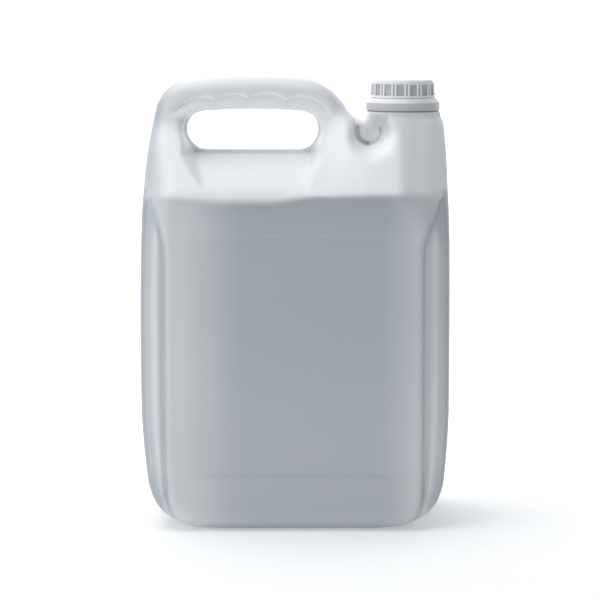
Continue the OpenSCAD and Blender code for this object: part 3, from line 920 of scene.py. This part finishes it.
def ribs(r, z, turn):
    """Radius of the cap's skirt with flats between close pairs of ribs."""
    low = CAP_LOW[2] + FLAT_MARGIN
    high = CAP_HIGH[2] - CAP_ROUND
    band = step_at(low, FLAT_LOW_EDGE, z) * (1 - step_at(high, FLAT_HIGH_EDGE, z))
    band = band * (r > CAP_IN_R + SKIRT_MIN_T)
    period = 2 * math.pi / RIB_PAIRS
    from_flat = np.abs((turn + period / 2) % period - period / 2)
    flat_r = (CAP_R - CAP_TAPER - FLAT_D) / np.cos(from_flat)
    flat = np.maximum(r - flat_r, 0) * (1 - step(*FLAT_SIDE_EDGE, from_flat * CAP_R - FLAT_W / 2))
    from_groove = (period / 2 - from_flat) * CAP_R
    groove = RIB_GROOVE_D * (1 - step_at(RIB_GROOVE_W / 2, RIB_GROOVE_EDGE, from_groove))
    return r - band * (flat + groove)


def make_cap():
    """The ribbed cap with its inner thread. What is cut into the skirt gets painted shade, and the top a
    little painted shade too.
    """
    low, high = CAP_LOW[2], CAP_HIGH[2]
    corners = [(CAP_IN_R, low - SKIRT_DROP, CAP_IN_EDGE_R), (CAP_R, low - SKIRT_DROP, CAP_LOW_EDGE_R)]
    for z in np.linspace(low + SKIRT_FOOT, high - CAP_ROUND - SKIRT_HEAD, SKIRT_STEPS):
        corners.append((skirt_r(z), z, 0))
    corners += [
        (CAP_R - CAP_TAPER, high, CAP_ROUND),
        (0, high, 0),
        (0, high - CAP_TOP_T, 0),
        (CAP_IN_R, high - CAP_TOP_T, CAP_IN_CORNER_R)]
    shell = lathe(rounded_loop(corners), CAP_SIDES, ribs)
    crest_r = NECK_R + RUN_GAP + CAP_THREAD_AIR
    ridge = thread(CAP_IN_R + CAP_THREAD_SINK, crest_r, THREAD_Z - THREAD_PITCH / 2)
    points, quads = joined(shell, ridge)
    z = points[:, 2]
    # Painted shade on what is cut into the skirt, and a little on the top
    skirt_painted_light = 1 - FLAT_PAINTED_SHADE * step(*FLAT_PAINTED_SHADE_IN, skirt_r(z) - from_axis(points))
    light = np.where(z > high - CAP_ROUND, CAP_TOP_PAINTED_LIGHT, skirt_painted_light)
    piece("cap_shell", points, quads, light, cap_plastic, "cap", "screw_cap")


def make_ring():
    """The tamper ring: a flared band with a bevelled top, and a hook under the neck's bead."""
    low, high = RING_LOW[2] + RING_LIFT, RING_HIGH[2]
    bevel_z = high - RING_BEVEL_H
    roof_z = high - RING_ROOF
    hook_z = BEAD_Z - BEAD_LEAD - RUN_GAP
    points, quads = lathe(rounded_loop([
        (RING_R - RING_WALL, low, RING_IN_EDGE_R),
        (RING_R, low, RING_LOW_EDGE_R),
        (RING_R, bevel_z, RING_BEVEL_R),
        (RING_R - RING_BEVEL_W, high, RING_BEVEL_R),
        (RING_IN_R, high, RING_TOP_EDGE_R),
        (RING_IN_R, hook_z, 0),
        (RING_HOOK_R, hook_z, RING_HOOK_EDGE_R),
        (RING_HOOK_R, low, RING_IN_EDGE_R),
        (RING_IN_R + RING_WALL, low, RING_IN_EDGE_R),
        (RING_IN_R + RING_WALL, roof_z, 0),
        (RING_R - RING_WALL, roof_z, 0)]), RING_SIDES)
    # Painted shade on the band and painted light on the bevelled top
    light = mix(RING_BAND_PAINTED_LIGHT, RING_BEVEL_PAINTED_LIGHT, step_at(bevel_z, RING_PAINTED_LIGHT_EDGE, points[:, 2]))
    piece("ring_band", points, quads, light, cap_plastic, "jug", "tamper_ring")


def make_liner():
    """The foam disc between the neck's lip and the cap's top."""
    low, high = LINER_LOW[2], LINER_HIGH[2]
    points, quads = lathe(rounded_loop([
        (0, low, 0),
        (LINER_R, low, LINER_EDGE_R),
        (LINER_R, high, LINER_EDGE_R),
        (0, high, 0)]), PLAIN_SIDES)
    light = np.ones(len(points))
    piece("liner_disc", points, quads, light, liner_foam, "liner", "cap_liner")


# Stage, light and camera

def floor_white():
    """Matt white that glows a little, as a lit backdrop does."""
    material = bpy.data.materials.new("floor")
    material.use_nodes = True
    shader = material.node_tree.nodes["Principled BSDF"]
    shader.inputs["Base Color"].default_value = (FLOOR_TONE, FLOOR_TONE, FLOOR_TONE, 1)
    shader.inputs["Roughness"].default_value = FLOOR_ROUGHNESS
    shader.inputs["Specular IOR Level"].default_value = FLOOR_SPECULAR
    shader.inputs["Emission Color"].default_value = (1, 1, 1, 1)
    shader.inputs["Emission Strength"].default_value = FLOOR_GLOW
    return material


def make_floor():
    """Floor that sweeps up into a backdrop behind the jug."""
    line = [(-STAGE_REACH, 0.0)]
    for a in np.linspace(0, math.pi / 2, SWEEP_STEPS):
        line.append((SWEEP_Y + SWEEP_R * math.sin(a), SWEEP_R * (1 - math.cos(a))))
    line.append((SWEEP_Y + SWEEP_R, STAGE_REACH))
    verts = [(x, y, z) for y, z in line for x in (-STAGE_REACH, STAGE_REACH)]
    faces = [(2 * i, 2 * i + 1, 2 * i + 3, 2 * i + 2) for i in range(len(line) - 1)]
    mesh = bpy.data.meshes.new("floor")
    mesh.from_pydata(verts, [], faces)
    mesh.shade_smooth()
    mesh.materials.append(floor_white())
    obj = add_object("floor", mesh)


def put(obj, place, target):
    """Puts a light or camera at a place and turns it to a target."""
    obj.location = place
    obj.rotation_euler = (Vector(target) - Vector(place)).to_track_quat("-Z", "Y").to_euler()


def area_light(name, place, target, size, power):
    """Rectangular white light of (width, height) size in metres and that power in watts."""
    light = bpy.data.lights.new(name, "AREA")
    light.shape = "RECTANGLE"
    light.size, light.size_y = size
    light.energy = power
    put(add_object(name, light), place, target)


def make_lights():
    """A soft top light, a fill from the left, a light on the backdrop and a faint cool surround."""
    area_light("top_light", place=(-0.3, -0.1, 1.25), target=MIDDLE, size=(1.2, 1.0), power=8.6)
    area_light("left_light", place=(-1.0, -0.6, 0.4), target=MIDDLE, size=(1.0, 1.1), power=3.8)
    area_light("back_light", place=(0, 0.9, 1.4), target=(0, 1.8, 0.4), size=(2.5, 0.8), power=26)
    world = bpy.data.worlds.new("soft_surround")
    world.use_nodes = True
    background = world.node_tree.nodes["Background"]
    background.inputs["Color"].default_value = (*SURROUND_TONE, 1)
    background.inputs["Strength"].default_value = SURROUND_STRENGTH
    bpy.context.scene.world = world


def make_camera():
    """The photograph's view: from the front, a little above, with a long lens."""
    place = (AIM[0], AIM[1] - CAMERA_DISTANCE, CAMERA_HEIGHT)
    data = bpy.data.cameras.new("camera")
    camera = add_object("camera", data)
    put(camera, place, AIM)
    frame_width = IMAGE_PIXELS * MM_PER_PIXEL * MM
    data.sensor_fit = "HORIZONTAL"
    data.sensor_width = SENSOR_MM
    data.lens = SENSOR_MM * (Vector(AIM) - Vector(place)).length / frame_width
    bpy.context.scene.camera = camera


make_jug()
make_cap()
make_ring()
make_liner()
make_floor()
make_lights()
make_camera()
bpy.context.scene.view_settings.view_transform = "Standard"
